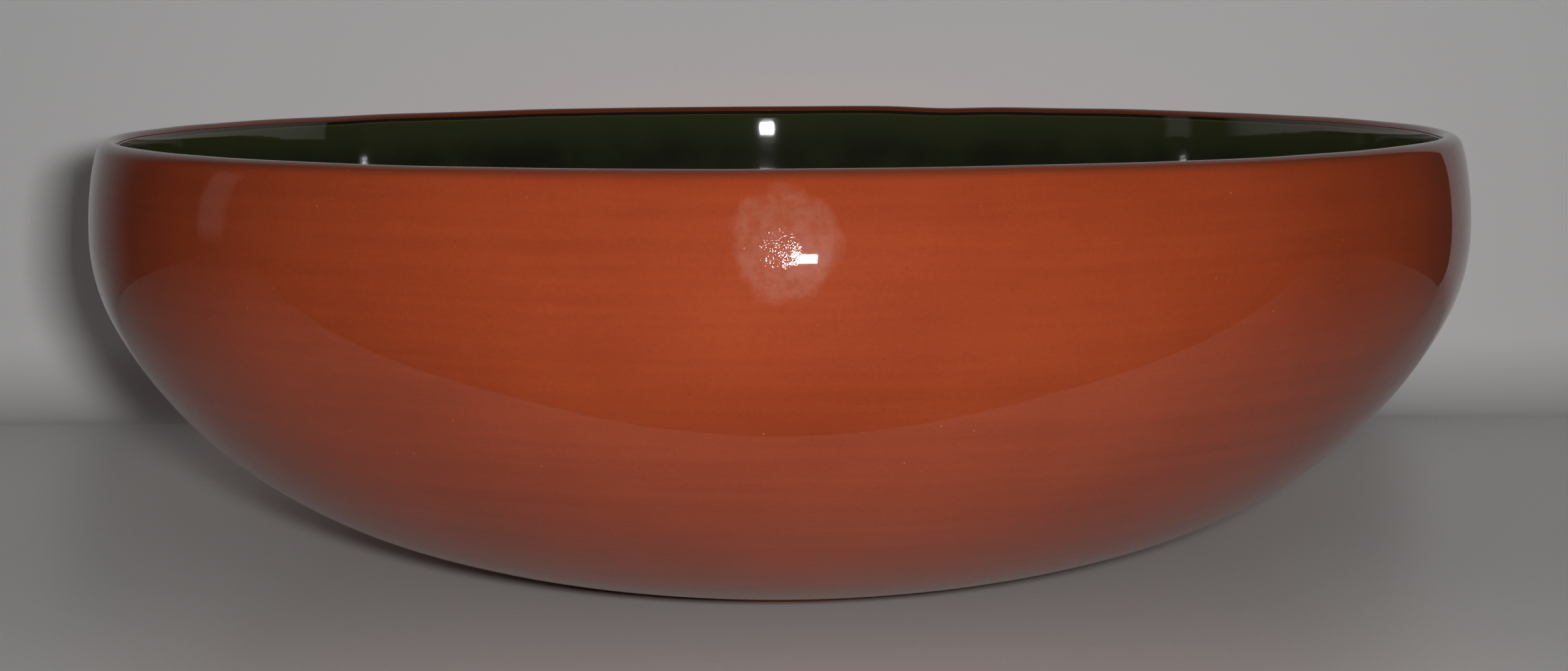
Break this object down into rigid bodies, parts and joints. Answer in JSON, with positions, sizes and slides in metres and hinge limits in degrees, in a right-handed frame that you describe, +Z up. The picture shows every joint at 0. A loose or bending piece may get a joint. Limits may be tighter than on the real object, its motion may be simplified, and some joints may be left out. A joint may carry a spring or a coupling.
{
  "type": "ceramic bowl",
  "caption": "Large low serving bowl in red earthenware: rounded belly, upright rim with a rounded lip, low foot ring, glossy red slip outside and dark green glaze inside.",
  "frame": {"origin": "on the table under the middle of the bowl, at the level of the foot ring's face", "axes": "+Z up along the bowl's axis, out of its mouth; the bowl is a body of revolution, so X and Y are any two level directions; the picture looks along +Y"},
  "size_m": [0.33, 0.33, 0.1046],
  "materials": {
    "red_earthenware": "matte, fired and unglazed",
    "sigillata_red": "glossy red-brown slip with faint level brush streaks",
    "dark_green_glaze": "glassy, nearly black green"
  },
  "bodies": {
    "root": {"clay_body": "red_earthenware", "foot_ring": "red_earthenware", "sigillata_slip": "sigillata_red", "inner_glaze": "dark_green_glaze", "base_slip": "sigillata_red"}
  },
  "joints": []
}
